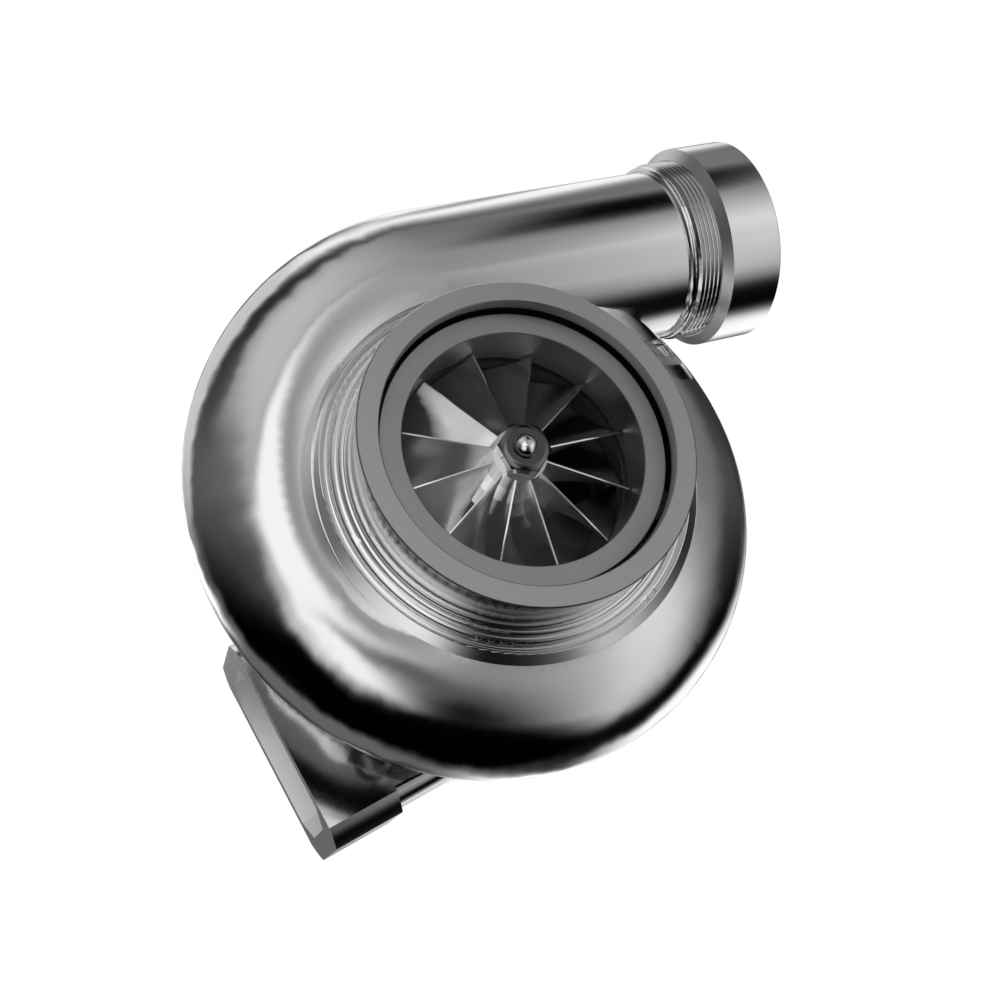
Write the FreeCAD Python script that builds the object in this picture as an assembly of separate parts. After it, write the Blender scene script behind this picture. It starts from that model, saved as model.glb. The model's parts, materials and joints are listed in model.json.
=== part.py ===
import FreeCAD, Part
import math
import os
from FreeCAD import Vector as V

# ---------------------------------------------------------------------------
# Turbocharger, millimetres.
# The origin is on the shaft axis in the plane of the compressor inlet face.
# The shaft runs along +Y, so y is the depth d behind that face; +X is to the
# right as seen from the inlet, and +Z is up, away from the turbine flange.
# ---------------------------------------------------------------------------

# Frame
FLANGE_DEPTH = 124.0        # turbine inlet flange centre, behind the compressor inlet face
FLANGE_OFFSET = 32.3        # flange centre, to the right of the shaft
SHAFT_HEIGHT = 83.6         # shaft axis above the flange face
OUTLET_LEAN = 11.0          # compressor outlet leans this many degrees from straight up

# Compressor inlet
INLET_R = 50.8              # 4 inch hose spigot
LIP_BORE_R = 44.3
LIP_D = 4.1                 # depth of the plain lip in front of the ring chamber
CHAMBER_R = 47.0
INSERT_OUTER_R = 43.3
INSERT_BORE_R = 36.72
INSERT_FACE_D = 6.0
INSERT_END_D = 24.5
NECK_BASE_D = 21.5
SHOULDER_R = 60.9           # edge where the scroll skin leaves the neck moulding
SHOULDER_D = 24.4

# Compressor scroll
SCROLL_D = 46.0             # depth of the scroll centre
OUTLET_R = 28.6
OUTLET_OFFSET = 72.7        # outlet centreline to shaft
SCROLL_END_R = 15.7
SCROLL_POWER = 1.57
SCROLL_TURN = 0.93          # share of a full turn
SCROLL_GROWTH = 10.1        # outward drift of the section centre per turn
SCROLL_EASE = 0.05          # share of the way over which the straight tube eases into the scroll
SCROLL_WALL = 4.5
THREAD_START = 88.2
THREAD_R = 31.0
THREAD_PITCH = 1.6
TUBE_END = 112.0
COLLAR_START = 97.6
COLLAR_R = 34.8
COLLAR_END = 119.0

# Compressor wheel: meridional ends as (radius, depth)
COMP_HUB = ((8.4, 12.6), (49.0, 55.0))
COMP_TIP = ((36.2, 17.7), (49.0, 50.0))
COMP_BLADES = 12
COMP_TURN = 9.3             # wheel position at rest, clockwise from the top
COMP_SWEEP = (30.0, 56.0, 30.0)   # blade turning: rate at the inlet edge, total, rate at the outlet
NUT_D = 6.2                 # front of the shaft nut
NUT_FLATS = 14.4
SHAFT_TIP_D = 3.5
COMP_BACK_D = 60.0
WHEEL_GAP = 0.5             # blade tip to casing

# Backplate joint
REAR_FACE_D = 76.0          # rear face of the compressor housing
PLUG_R = 62.0
RIM_R = 64.0
RIM_D = 66.0
BACKPLATE_D = 72.0          # bearing housing seats here
CLAMP_BOLT_R = 71.0
CLAMP_CENTRES = (0, 120, 240)   # degrees clockwise from the top
CLAMP_HALF_ANGLE = 17       # each plate's two bolts, either side of its centre
CLAMP_PLATE = 3.5           # thickness
CLAMP_PLATE_SPAN = 25       # each plate's ends, degrees either side of its centre
BACKPLATE_BOLT_R = 46.0
BACKPLATE_BOLTS = 4
BACKPLATE_BOLT_TURN = 45
BACKPLATE_BOLT_FLOOR = BACKPLATE_D + 6.0   # seat of the backplate bolts in the bearing housing
BACKPLATE_O_RING = (60.95, 1.0, 61.0)      # ring radius, half section, depth
BEARING_O_RING = (34.5, 1.18, 70.8)
M6_R = 2.95                 # screw shank
M6_TAP_R = 3.0
M6_HOLE_R = 3.3

# Shaft and bearings
STUB_R = 4.0
JOURNAL_R = 6.0
HUB_R = 10.4
STUB_END_D = 77.3
HUB_D = 105.0
BEARING_BORE_R = 9.52
BEARING_R = 9.46
BEARING_LENGTH = 7.5
BEARING_GAP = 0.04          # radial oil film, journal to bush
FRONT_BEARING_D = 81.0
REAR_BEARING_D = 94.5
SNAP_RING = 1.0             # thickness
THRUST_PLATE_R = 22.0
THRUST_PLATE_END = 75.2
PIN_R = 1.5                 # two pins that stop the thrust bearing from turning
PIN_HOLE_R = 1.55
PIN_CIRCLE_R = 18.0
PIN_ANGLES = (90, 270)
FIT = 0.02                  # radial gap of parts that are fixed to each other

# Bearing housing
WAIST_D = 88.5              # oil and water ports lie in this plane
WAIST_HALF = 9.5            # half thickness of the drain pad along the shaft
DRAIN_PAD_Z = -44.0
FEED_PAD_Z = 42.0
PORT_X = 40.0               # water port faces
DRAIN_BOLT_X = 19.0
WASHER = 1.0                # thickness of the port washers and the drain gasket
DRAIN_FLANGE = 6.0          # thickness of the drain fitting's flange
DRAIN_STUB_R = 8.8          # hose stub of the drain
TURBINE_FACE_D = 105.0      # contact face with the turbine housing
BAND_R = 52.0               # outer radius of the two clamped flanges
BAND_BOLT_R = 60.4
BAND_TURN = 52.0            # clamp bolt position, clockwise from the top

# Turbine
TURB_HUB = ((11.0, 158.0), (41.0, 118.5))
TURB_TIP = ((35.5, 154.0), (41.0, 130.0))
TURB_BLADES = 11
TURB_SWEEP = (88.0, 47.0, 6.0)
BLADE_EDGE = 0.45           # blade thickness at its axial edge
TURB_SCROLL_D = 128.0
TURB_SCROLL_START = -40.0   # degrees, seen from the front
TURB_SCROLL_SWEEP = 330.0
TURB_START_R = 21.0
TURB_END_R = 11.5
TURB_INNER_R = 44.0
TURB_WALL = 5.0
OUTLET_END_D = 172.0
OUTLET_FLANGE_R = 48.5      # V band flange on the gas outlet

# Turbine inlet flange
FLANGE_LENGTH = 76.4
FLANGE_WIDTH = 43.2
FLANGE_THICK = 25.3
FLANGE_CHAMFER = 6.8
FLANGE_BULGE = 0.7          # the corner flats are slightly rounded


# ---------------------------------------------------------------------------
# Drawing helpers
# ---------------------------------------------------------------------------

def outline_wire(points, place):
    """Closed wire.  (a, b) is a straight step, (a, b, am, bm) an arc through (am, bm)."""
    edges = []
    start = place(points[-1][0], points[-1][1])
    for point in points:
        end = place(point[0], point[1])
        if start.distanceToPoint(end) < 1e-6:
            continue
        if len(point) == 4:
            edges.append(Part.Arc(start, place(point[2], point[3]), end).toShape())
        else:
            edges.append(Part.makeLine(start, end))
        start = end
    return Part.Wire(edges)


def turned(points):
    """Solid turned about the shaft from (radius, depth) points."""
    wire = outline_wire(points, lambda r, d: V(r, d, 0))
    return Part.Face(wire).revolve(V(0, 0, 0), V(0, 1, 0), 360)


def drum(radius, d_from, d_to, bore=0.0):
    """Plain cylinder or ring about the shaft."""
    return turned([(bore, d_from), (radius, d_from), (radius, d_to), (bore, d_to)])


def at_angle(radius, degrees, d):
    """Point at a radius and clockwise angle from straight up."""
    a = math.radians(degrees)
    return V(radius * math.sin(a), d, radius * math.cos(a))


def bar(radius, centre, d_from, d_to):
    """Cylinder parallel to the shaft at centre (x, z)."""
    return Part.makeCylinder(radius, d_to - d_from, V(centre.x, d_from, centre.z), V(0, 1, 0))


def rod(radius, start, direction, length):
    return Part.makeCylinder(radius, length, start, direction)


def hexagon(across_flats, base, direction, height):
    """Hexagonal prism on a base point."""
    corner = across_flats / math.sqrt(3.0)
    points = []
    for i in range(7):
        a = math.radians(60 * i)
        points.append(V(corner * math.cos(a), corner * math.sin(a), 0))
    prism = Part.Face(Part.makePolygon(points)).extrude(V(0, 0, height))
    prism.Placement = FreeCAD.Placement(base, FreeCAD.Rotation(V(0, 0, 1), direction))
    return prism


def union(shapes):
    result = shapes[0]
    if len(shapes) > 1:
        result = result.multiFuse(shapes[1:])
    return result.removeSplitter()


def spread(count, first, make):
    """make(angle) repeated evenly round the shaft."""
    return [make(first + 360.0 * i / count) for i in range(count)]


# ---------------------------------------------------------------------------
# Compressor housing
# ---------------------------------------------------------------------------

LEAN = math.radians(OUTLET_LEAN)
OUT = V(math.sin(LEAN), 0, math.cos(LEAN))       # the way the outlet points
SIDE = V(-math.cos(LEAN), 0, math.sin(LEAN))     # from the shaft to the outlet centreline


def disc_wire(centre, across, radius):
    """Circle in the plane of the shaft direction and 'across'."""
    circle = Part.Wire([Part.makeCircle(radius)])
    turn = FreeCAD.Rotation(across, V(0, 1, 0), across.cross(V(0, 1, 0)), "XYZ")
    circle.Placement = FreeCAD.Placement(centre, turn)
    return circle


def scroll_section(turn):
    """Radius and shaft distance of the scroll's round section, at a share of a turn."""
    way = turn / SCROLL_TURN
    way = way * way * (1 + SCROLL_EASE) / (way + SCROLL_EASE)
    radius = SCROLL_END_R + (OUTLET_R - SCROLL_END_R) * max(0.0, 1.0 - way) ** SCROLL_POWER
    distance = OUTLET_OFFSET - OUTLET_R + radius + SCROLL_GROWTH * SCROLL_TURN * way
    return radius, distance


def scroll_across(turn):
    """Direction from the shaft to the scroll section, at a share of a turn."""
    a = 2 * math.pi * turn
    return SIDE * math.cos(a) - OUT * math.sin(a)


def skin_wire(turn):
    """Outer section: the round scroll with a straight tangent to the shoulder edge."""
    radius, distance = scroll_section(turn)
    across = scroll_across(turn)
    toward = math.atan2(SHOULDER_D - SCROLL_D, SHOULDER_R - distance)
    reach = math.hypot(SHOULDER_D - SCROLL_D, SHOULDER_R - distance)
    opening = max(math.radians(10), math.acos(min(1.0, radius / reach)))
    reach = max(reach, radius / math.cos(opening))

    def place(away, angle):
        rho = distance + away * math.cos(angle)
        return across * rho + V(0, SCROLL_D + away * math.sin(angle), 0)

    tangent = toward + opening
    touch = place(radius, tangent)
    inner = place(radius, math.pi)
    edge = place(reach, toward)
    outside = Part.Arc(touch, place(radius, (tangent + math.pi) / 2), inner)
    return Part.Wire([outside.toShape(), Part.makeLine(inner, edge), Part.makeLine(edge, touch)])


def scroll_skin():
    return Part.makeLoft([skin_wire(SCROLL_TURN * k / 24.0) for k in range(25)], True, False)


def scroll_passage():
    """Round air passage, from the outlet to most of the way round."""
    wires = []
    for k in range(13):
        turn = 0.80 * k / 12.0
        radius, distance = scroll_section(turn)
        across = scroll_across(turn)
        wires.append(disc_wire(across * distance + V(0, SCROLL_D, 0), across, radius - SCROLL_WALL))
    return Part.makeLoft(wires, True, False)


def outlet_tube(radius, s_from, s_to):
    start = SIDE * OUTLET_OFFSET + OUT * s_from + V(0, SCROLL_D, 0)
    return Part.makeCylinder(radius, s_to - s_from, start, OUT)


def outlet_turned(points):
    """Solid turned about the outlet centreline from (radius, distance along) points."""
    origin = SIDE * OUTLET_OFFSET + V(0, SCROLL_D, 0)
    wire = outline_wire(points, lambda r, s: origin + V(0, -r, 0) + OUT * s)
    return Part.Face(wire).revolve(origin, OUT, 360)


def thread_rings():
    """Fine thread on the outlet, as rings, after a small rounded lip."""
    root = THREAD_R - 1.1
    points = [(root - 2.0, THREAD_START - 1.6), (OUTLET_R, THREAD_START - 1.6)]
    points.append((OUTLET_R + 1.6, THREAD_START + 0.2, OUTLET_R + 1.5, THREAD_START - 1.0))
    points.append((root, THREAD_START + 1.0))
    count = int((TUBE_END - THREAD_START - 1.0) / THREAD_PITCH)
    for i in range(count):
        s = THREAD_START + 1.0 + THREAD_PITCH * i
        points.append((THREAD_R, s + 0.45 * THREAD_PITCH))
        points.append((THREAD_R, s + 0.60 * THREAD_PITCH))
        points.append((root, s + THREAD_PITCH))
    points.append((root, TUBE_END))
    points.append((root - 2.0, TUBE_END))
    return outlet_turned(points)


def casing_curve(tip, gap, first, last, steps):
    """Points of a wheel casing: the blade tip curve moved out by the gap."""
    points = []
    for k in range(steps + 1):
        s = first + (last - first) * k / steps
        r, d = meridian(tip, s)
        a = s * math.pi / 2
        toward = 1.0 if tip[1][1] > tip[0][1] else -1.0
        points.append((r + gap * math.cos(a), d - toward * gap * math.sin(a)))
    return points


def clamp_bolt_angles():
    """Six bolts in three pairs."""
    sides = (-CLAMP_HALF_ANGLE, CLAMP_HALF_ANGLE)
    return [centre + side for centre in CLAMP_CENTRES for side in sides]


def compressor_core():
    """Neck, its moulding of rolls and a broad shoulder, and the rear ring, turned as one blank."""
    neck = [(20.0, 0.0), (INLET_R - 0.4, 0.0), (INLET_R, 0.4), (INLET_R, NECK_BASE_D),
            (INLET_R - 0.5, NECK_BASE_D + 0.4), (INLET_R - 0.1, 22.4)]
    first_roll = [(52.2, 22.9, 51.5, 22.45)]
    second_roll = [(54.0, 23.0, 53.1, 22.75), (54.9, 24.2, 54.6, 23.4)]
    ridge = [(56.9, 24.4, 56.0, 23.9)]
    shoulder = [(57.3, 23.4), (58.0, 22.95, 57.5, 23.02), (SHOULDER_R + 0.4, SHOULDER_D + 0.4)]
    rear = [(SHOULDER_R + 0.4, 30.0), (62.4, 34.0), (62.4, 56.0), (70.0, 60.0),
            (70.0, REAR_FACE_D - 0.8), (69.2, REAR_FACE_D), (20.0, REAR_FACE_D)]
    return turned(neck + first_roll + second_roll + ridge + shoulder + rear)


def clamp_bosses(radius, d_from):
    centres = [at_angle(CLAMP_BOLT_R, a, 0) for a in clamp_bolt_angles()]
    return [bar(radius, centre, d_from, REAR_FACE_D) for centre in centres]


def compressor_bore():
    """Inlet lip, ring chamber, wheel casing, diffuser and backplate pocket."""
    inlet = [(0.0, -1.0), (LIP_BORE_R + 0.3, -1.0), (LIP_BORE_R + 0.3, 0.0), (LIP_BORE_R, 0.3),
             (LIP_BORE_R, LIP_D), (CHAMBER_R - 0.3, LIP_D + 1.2), (CHAMBER_R, LIP_D + 3.0),
             (CHAMBER_R, 25.0), (44.8, 27.5, 46.5, 27.0), (41.5, 27.5), (40.6, 26.5)]
    casing = casing_curve(COMP_TIP, WHEEL_GAP, 0.18, 1.0, 9)
    casing[0] = (casing[0][0], 26.5)
    diffuser_front = COMP_TIP[1][1] - WHEEL_GAP
    pocket = [(69.0, diffuser_front), (69.0, COMP_HUB[1][1]), (PLUG_R, COMP_HUB[1][1]),
              (PLUG_R, RIM_D), (RIM_R, RIM_D), (RIM_R, REAR_FACE_D + 1), (0.0, REAR_FACE_D + 1)]
    return turned(inlet + casing + pocket)


def chamber_ribs():
    """Four ribs in the ring chamber, which carry the shroud ring."""
    ring = drum(CHAMBER_R + 1.0, 13.0, 22.0, INSERT_OUTER_R + FIT)
    ribs = []
    for angle in (45, 135, 225, 315):
        corner = at_angle(45.0, angle, 0) - V(4, 0, 4)
        ribs.append(ring.common(Part.makeBox(8, 60, 8, corner)))
    return ribs


def compressor_housing():
    tube = outlet_tube(OUTLET_R, 0.0, TUBE_END)
    outside = union([compressor_core(), scroll_skin(), tube, thread_rings()] + clamp_bosses(7.5, 60.0))
    keep = [drum(68.0, 58.5, REAR_FACE_D)] + clamp_bosses(6.5, 61.0)
    passage = scroll_passage().fuse(outlet_tube(OUTLET_R - SCROLL_WALL, 0.0, TUBE_END + 1)).cut(keep)
    outside = outside.cut(passage)
    outside = outside.cut(compressor_bore())
    holes = [bar(M6_TAP_R, at_angle(CLAMP_BOLT_R, a, 0), REAR_FACE_D - 12, REAR_FACE_D + 1)
             for a in clamp_bolt_angles()]
    return union([outside.cut(holes)] + chamber_ribs())


def outlet_collar():
    """Coupling ring screwed on the outlet thread."""
    bore = OUTLET_R - SCROLL_WALL
    return outlet_turned([(THREAD_R + 0.05, COLLAR_START), (31.4, COLLAR_START), (COLLAR_R, 100.0),
                          (COLLAR_R, COLLAR_END - 0.5), (COLLAR_R - 0.5, COLLAR_END),
                          (bore + 1.0, COLLAR_END), (bore, COLLAR_END - 1.0), (bore, TUBE_END),
                          (THREAD_R + 0.05, TUBE_END)])


def inlet_shroud_ring():
    """Inner ring of the ported shroud."""
    edge = 0.25
    return turned([(INSERT_BORE_R, INSERT_FACE_D + edge), (INSERT_BORE_R + edge, INSERT_FACE_D),
                   (INSERT_OUTER_R - edge, INSERT_FACE_D), (INSERT_OUTER_R, INSERT_FACE_D + edge),
                   (INSERT_OUTER_R, INSERT_END_D), (38.6, INSERT_END_D), (37.4, INSERT_END_D - 1.0),
                   (INSERT_BORE_R, 17.0)])


# ---------------------------------------------------------------------------
# Wheels
# ---------------------------------------------------------------------------

def meridian(ends, s):
    """Quarter ellipse that leaves the first end along the shaft and meets the second radially."""
    (r0, d0), (r1, d1) = ends
    a = s * math.pi / 2
    return r0 + (r1 - r0) * (1 - math.cos(a)), d0 + (d1 - d0) * math.sin(a)


def blade_angle(s, sweep):
    """Degrees the blade has turned from its axial end; 'sweep' is first rate, total, last rate."""
    first, total, last = sweep
    return total * (3 * s ** 2 - 2 * s ** 3) + first * (s - 2 * s ** 2 + s ** 3) + last * (s ** 3 - s ** 2)


def blade_point(ends, s, turn):
    r, d = meridian(ends, s)
    return at_angle(r, turn, d)


def blade_section(hub, tip, sweep, sign, thick, s):
    """Thin four cornered section of a blade, square to its run."""
    rear = 1.0 if hub[1][1] > hub[0][1] else -1.0
    sunk_hub = ((hub[0][0] - 1.5, hub[0][1]), (hub[1][0], hub[1][1] + rear))
    proud_tip = ((tip[0][0] + 1.0, tip[0][1]), (tip[1][0] + 1.0, tip[1][1]))
    near = []
    for other in (min(1.0, s + 0.02), max(0.0, s - 0.02)):
        turn = sign * blade_angle(other, sweep)
        near.append(blade_point(hub, other, turn) + blade_point(tip, other, turn))
    turn = sign * blade_angle(s, sweep)
    root = blade_point(sunk_hub, s, turn)
    top = blade_point(proud_tip, s, turn)
    normal = (top - root).cross(near[0] - near[1]).normalize()
    body = min(1.0, s / 0.3)
    half_root = normal * ((BLADE_EDGE + (thick[0] - BLADE_EDGE) * body) / 2.0)
    half_top = normal * ((BLADE_EDGE + (thick[1] - BLADE_EDGE) * body) / 2.0)
    corners = [root + half_root, top + half_top, top - half_top, root - half_root]
    return Part.makePolygon(corners + [corners[0]])


def blade(hub, tip, sweep, sign, thick):
    """One blade: a loft through thin flat sections from the axial end to the radial end."""
    sections = [blade_section(hub, tip, sweep, sign, thick, k / 10.0) for k in range(11)]
    return Part.makeLoft(sections, True, False)


def blade_row(one, count, first):
    blades = []
    for i in range(count):
        copy = one.copy()
        copy.rotate(V(0, 0, 0), V(0, 1, 0), first + 360.0 * i / count)
        blades.append(copy)
    return blades


def wheel_envelope(hub, tip, steps):
    """Everything inside the blade tip curve."""
    points = [(0.0, tip[0][1]), (tip[0][0], tip[0][1])]
    for k in range(1, steps + 1):
        points.append(meridian(tip, k / float(steps)))
    end = hub[1][1] + (3.0 if hub[1][1] > hub[0][1] else -3.0)
    nose = hub[0][1] - (6.0 if hub[1][1] > hub[0][1] else -6.0)
    return turned([(0.0, nose), (hub[0][0], nose), (hub[0][0] + 0.3, hub[0][1])]
                  + points[1:] + [(hub[1][0], end), (0.0, end)])


def hub_curve(hub, steps):
    return [meridian(hub, k / float(steps)) for k in range(steps + 1)]


def compressor_wheel():
    nose_r, nose_d = COMP_HUB[0]
    hub = turned([(0.0, nose_d), (nose_r - 0.5, nose_d)] + hub_curve(COMP_HUB, 10)
                 + [(49.0, 56.3), (20.0, 58.4), (9.0, COMP_BACK_D), (0.0, COMP_BACK_D)])
    one = blade(COMP_HUB, COMP_TIP, COMP_SWEEP, -1, (1.6, 0.8))
    one = one.common(wheel_envelope(COMP_HUB, COMP_TIP, 10))
    wheel = hub.multiFuse(blade_row(one, COMP_BLADES, COMP_TURN))
    return wheel.cut(drum(STUB_R + FIT, 0, 70))


def compressor_nut():
    """Hexagon nut on the shaft end, its front corners rounded off."""
    seat = COMP_HUB[0][1]
    nut = hexagon(NUT_FLATS, V(0, NUT_D, 0), V(0, 1, 0), seat - NUT_D)
    dome = turned([(0.0, NUT_D), (5.4, NUT_D), (8.4, NUT_D + 1.6, 7.2, NUT_D + 0.4),
                   (8.4, seat), (0.0, seat)])
    return nut.common(dome).cut(drum(STUB_R + FIT, 0, 20))


def turbine_wheel_and_shaft():
    """Cast turbine wheel, friction welded to the shaft that carries the whole rotor."""
    shaft = turned([(0.0, SHAFT_TIP_D), (STUB_R, SHAFT_TIP_D + 3.6, 2.9, SHAFT_TIP_D + 0.9),
                    (STUB_R, STUB_END_D), (JOURNAL_R, STUB_END_D),
                    (JOURNAL_R, 91.0 - 1.5), (JOURNAL_R - 0.5, 91.0 - 1.0), (JOURNAL_R - 0.5, 92.0),
                    (JOURNAL_R, 92.5), (JOURNAL_R, HUB_D), (HUB_R, HUB_D), (HUB_R, 107.5), (8.9, 107.5),
                    (8.9, 109.3), (HUB_R, 109.3), (HUB_R, 117.0), (14.0, 117.6), (36.0, 117.6),
                    (40.0, 118.0)] + list(reversed(hub_curve(TURB_HUB, 10)))
                   + [(11.0, 160.0), (8.5, 163.0, 10.2, 162.3), (0.0, 163.0)])
    nose = hexagon(10.0, V(0, 161.5, 0), V(0, 1, 0), 5.0)
    one = blade(TURB_HUB, TURB_TIP, TURB_SWEEP, 1, (2.6, 1.3))
    one = one.common(wheel_envelope(TURB_HUB, TURB_TIP, 10))
    blades = blade_row(one, TURB_BLADES, 0.0)
    scallops = spread(TURB_BLADES, 180.0 / TURB_BLADES,
                      lambda a: bar(7.0, at_angle(43.0, a, 0), 110.0, 124.0))
    return shaft.cut(scallops).multiFuse(blades + [nose])


# ---------------------------------------------------------------------------
# Backplate and what joins it
# ---------------------------------------------------------------------------

def backplate_bolt_bars(radius, d_from, d_to):
    return spread(BACKPLATE_BOLTS, BACKPLATE_BOLT_TURN,
                  lambda a: bar(radius, at_angle(BACKPLATE_BOLT_R, a, 0), d_from, d_to))


def backplate():
    front = [(8.25, 60.9), (10.0, 60.8), (20.0, 59.2), (50.2, 57.2), (50.2, 55.0), (PLUG_R - 0.05, 55.0),
             (PLUG_R - 0.05, 59.5), (PLUG_R - 2.1, 59.5), (PLUG_R - 2.1, 62.5), (PLUG_R - 0.05, 62.5),
             (PLUG_R - 0.05, RIM_D), (RIM_R - 0.05, RIM_D), (RIM_R - 0.05, REAR_FACE_D), (57.0, REAR_FACE_D)]
    rear = [(55.5, BACKPLATE_D), (36.0, BACKPLATE_D), (36.0, 69.6), (33.0, 69.6), (33.0, BACKPLATE_D),
            (14.0, BACKPLATE_D), (14.0, 67.0), (8.25, 67.0)]
    return turned(front + rear).cut(backplate_bolt_bars(M6_TAP_R, 62.5, 80.0))


def ring_seal(radius, section, d):
    return Part.makeTorus(radius, section, V(0, d, 0), V(0, 1, 0))


def backplate_o_ring():
    return ring_seal(*BACKPLATE_O_RING)


def bearing_housing_o_ring():
    return ring_seal(*BEARING_O_RING)


def clamp_plate(centre_angle):
    """Arc plate that presses the backplate rim, on two bolts."""
    plate = drum(77.5, REAR_FACE_D, REAR_FACE_D + CLAMP_PLATE, 59.8)
    reach = 120.0
    wedge = Part.makePolygon([V(0, 70, 0), at_angle(reach, centre_angle - CLAMP_PLATE_SPAN, 70),
                              at_angle(reach * 1.2, centre_angle, 70),
                              at_angle(reach, centre_angle + CLAMP_PLATE_SPAN, 70), V(0, 70, 0)])
    plate = plate.common(Part.Face(wedge).extrude(V(0, 20, 0)))
    for side in (-CLAMP_HALF_ANGLE, CLAMP_HALF_ANGLE):
        plate = plate.cut(bar(M6_HOLE_R, at_angle(CLAMP_BOLT_R, centre_angle + side, 0), 70, 90))
    straight = [e for e in plate.Edges if e.Curve.TypeId == "Part::GeomLine"]
    corners = [e for e in straight if abs(e.Length - CLAMP_PLATE) < 1e-4]
    return plate.makeFillet(3.0, corners)


def compressor_clamp_plates():
    return Part.makeCompound([clamp_plate(a) for a in CLAMP_CENTRES])


def hex_bolt(base, direction, shank_r, flats, head, length, collar_r):
    """Flanged hex head on the seat plane at 'base'; the shank runs against 'direction'."""
    collar = 1.0
    seat = base + direction * collar
    shank = rod(shank_r, base - direction * length, direction, length + 0.5)
    prism = hexagon(flats, seat, direction, head)
    cone = Part.makeCone(flats * 0.72, flats * 0.46, head * 1.4, seat - direction * head * 0.4, direction)
    return union([shank, rod(collar_r, base, direction, collar), prism.common(cone)])


def compressor_clamp_bolts():
    seat = REAR_FACE_D + CLAMP_PLATE
    bolts = []
    for angle in clamp_bolt_angles():
        base = at_angle(CLAMP_BOLT_R, angle, seat)
        bolts.append(hex_bolt(base, V(0, 1, 0), M6_R, 10.0, 4.2, 14.0, 5.8))
    return Part.makeCompound(bolts)


def socket_screw(base, direction, shank_r, head_r, head, length):
    body = union([rod(shank_r, base - direction * length, direction, length + 0.5),
                  rod(head_r, base, direction, head)])
    socket = hexagon(head_r * 1.0, base + direction * head * 0.45, direction, head)
    return body.cut(socket)


def backplate_bolts():
    screws = spread(BACKPLATE_BOLTS, BACKPLATE_BOLT_TURN, lambda a: socket_screw(
        at_angle(BACKPLATE_BOLT_R, a, BACKPLATE_BOLT_FLOOR), V(0, 1, 0), M6_R, 5.0, 6.0, 14.0))
    return Part.makeCompound(screws)


# ---------------------------------------------------------------------------
# Rotor stack and bearings
# ---------------------------------------------------------------------------

def oil_flinger():
    """Seal sleeve with a ring groove and a slinger disc."""
    return turned([(STUB_R + FIT, COMP_BACK_D), (8.0, COMP_BACK_D), (8.0, 62.4), (6.7, 62.4), (6.7, 64.2),
                   (8.0, 64.2), (8.0, 69.4), (12.5, 69.9), (12.5, 71.9), (STUB_R + FIT, 71.9)])


def thrust_collar():
    return turned([(STUB_R + FIT, 71.9), (8.1, 71.9), (8.1, 75.3), (12.5, 75.3), (12.5, STUB_END_D),
                   (STUB_R + FIT, STUB_END_D)])


def split_ring(r_in, r_out, d_from, d_to, gap, angle=0.0):
    ring = drum(r_out, d_from, d_to, r_in)
    box = Part.makeBox(gap, 40, r_out + 2, V(-gap / 2.0, d_from - 10, 0))
    box.rotate(V(0, 0, 0), V(0, 1, 0), angle)
    return ring.cut(box)


def compressor_seal_ring():
    return split_ring(6.8, 8.23, 62.5, 64.1, 0.6)


def turbine_seal_ring():
    return split_ring(9.0, 10.5, 107.6, 109.2, 0.6, 90.0)


def pin_bars(radius, d_from, d_to):
    return [bar(radius, at_angle(PIN_CIRCLE_R, a, 0), d_from, d_to) for a in PIN_ANGLES]


def thrust_bearing():
    """Fixed plate with six oil pads each side and a feed groove."""
    plate = drum(THRUST_PLATE_R - FIT, BACKPLATE_D, THRUST_PLATE_END, 8.6)
    slots = []
    for i in range(6):
        slot = Part.makeBox(1.6, 0.8, 4.0, V(-0.8, BACKPLATE_D - 0.4, 8.4))
        slot.rotate(V(0, 0, 0), V(0, 1, 0), 60.0 * i + 30.0)
        slots.append(slot)
        back = slot.copy()
        back.translate(V(0, THRUST_PLATE_END - BACKPLATE_D, 0))
        slots.append(back)
    return plate.cut(slots + pin_bars(PIN_HOLE_R, 70.0, 80.0))


def thrust_bearing_pins():
    return Part.makeCompound(pin_bars(PIN_R, BACKPLATE_D + 0.2, 80.0))


def journal_bearing(start):
    """Full floating bush with six cross holes for the oil."""
    end = start + BEARING_LENGTH
    bore = JOURNAL_R + BEARING_GAP
    edge = 0.4
    bush = turned([(bore, start + edge), (bore + edge, start), (BEARING_R - edge, start),
                   (BEARING_R, start + edge), (BEARING_R, end - edge), (BEARING_R - edge, end),
                   (bore + edge, end), (bore, end - edge)])
    middle = V(0, start + BEARING_LENGTH / 2.0, 0)
    holes = spread(6, 0, lambda a: rod(1.2, middle, at_angle(1.0, a, 0), 12.0))
    return bush.cut(holes)


def snap_ring_depths():
    front_end = FRONT_BEARING_D + BEARING_LENGTH
    rear_end = REAR_BEARING_D + BEARING_LENGTH
    return (FRONT_BEARING_D - 1.4, front_end + 0.4, REAR_BEARING_D - 1.4, rear_end + 0.4)


def bearing_snap_rings():
    return Part.makeCompound([split_ring(8.0, 10.2, d, d + SNAP_RING, 3.0) for d in snap_ring_depths()])


# ---------------------------------------------------------------------------
# Bearing housing
# ---------------------------------------------------------------------------

UP = V(0, 0, 1)
DOWN = V(0, 0, -1)
RIGHT = V(1, 0, 0)
LEFT = V(-1, 0, 0)


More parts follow.
